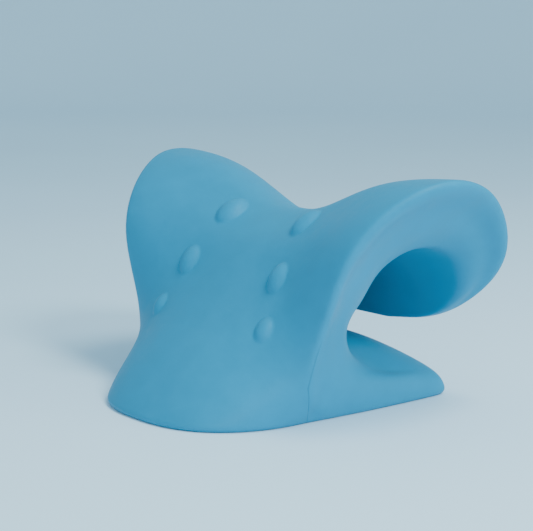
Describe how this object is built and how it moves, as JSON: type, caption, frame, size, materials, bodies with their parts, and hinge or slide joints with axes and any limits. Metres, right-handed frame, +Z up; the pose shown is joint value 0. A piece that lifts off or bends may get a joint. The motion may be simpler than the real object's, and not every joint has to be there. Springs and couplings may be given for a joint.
{
  "type": "cervical traction device",
  "caption": "Self-skinned foam neck stretcher: a flat foot, a sprung spine, a saddle with massage nodules and a curl that carries the head.",
  "frame": {"origin": "on the flat underside, in the middle of the bounding box", "axes": "+X from ear to ear toward the right ear, -Y toward the nodule face, +Y toward the mouth of the C, +Z up"},
  "size_m": [0.2432, 0.181, 0.1319],
  "materials": {
    "foam_skin": "satin self-skinned polyurethane foam, fine closed skin"
  },
  "bodies": {
    "foot": {"base_foot": "foam_skin"},
    "cradle": {"flex_spine": "foam_skin", "neck_saddle": "foam_skin", "head_curl": "foam_skin", "nodule_lower_left": "foam_skin", "nodule_lower_right": "foam_skin", "nodule_middle_left": "foam_skin", "nodule_middle_right": "foam_skin", "nodule_upper_left": "foam_skin", "nodule_upper_right": "foam_skin"}
  },
  "joints": [
    {"name": "spine_flex", "type": "hinge", "parent": "foot", "child": "cradle", "pos_m": [0, -0.0185, 0.05], "axis": [-1, 0, 0], "range_deg": [-3, 7], "stiffness_Nm_per_rad": 25}
  ]
}
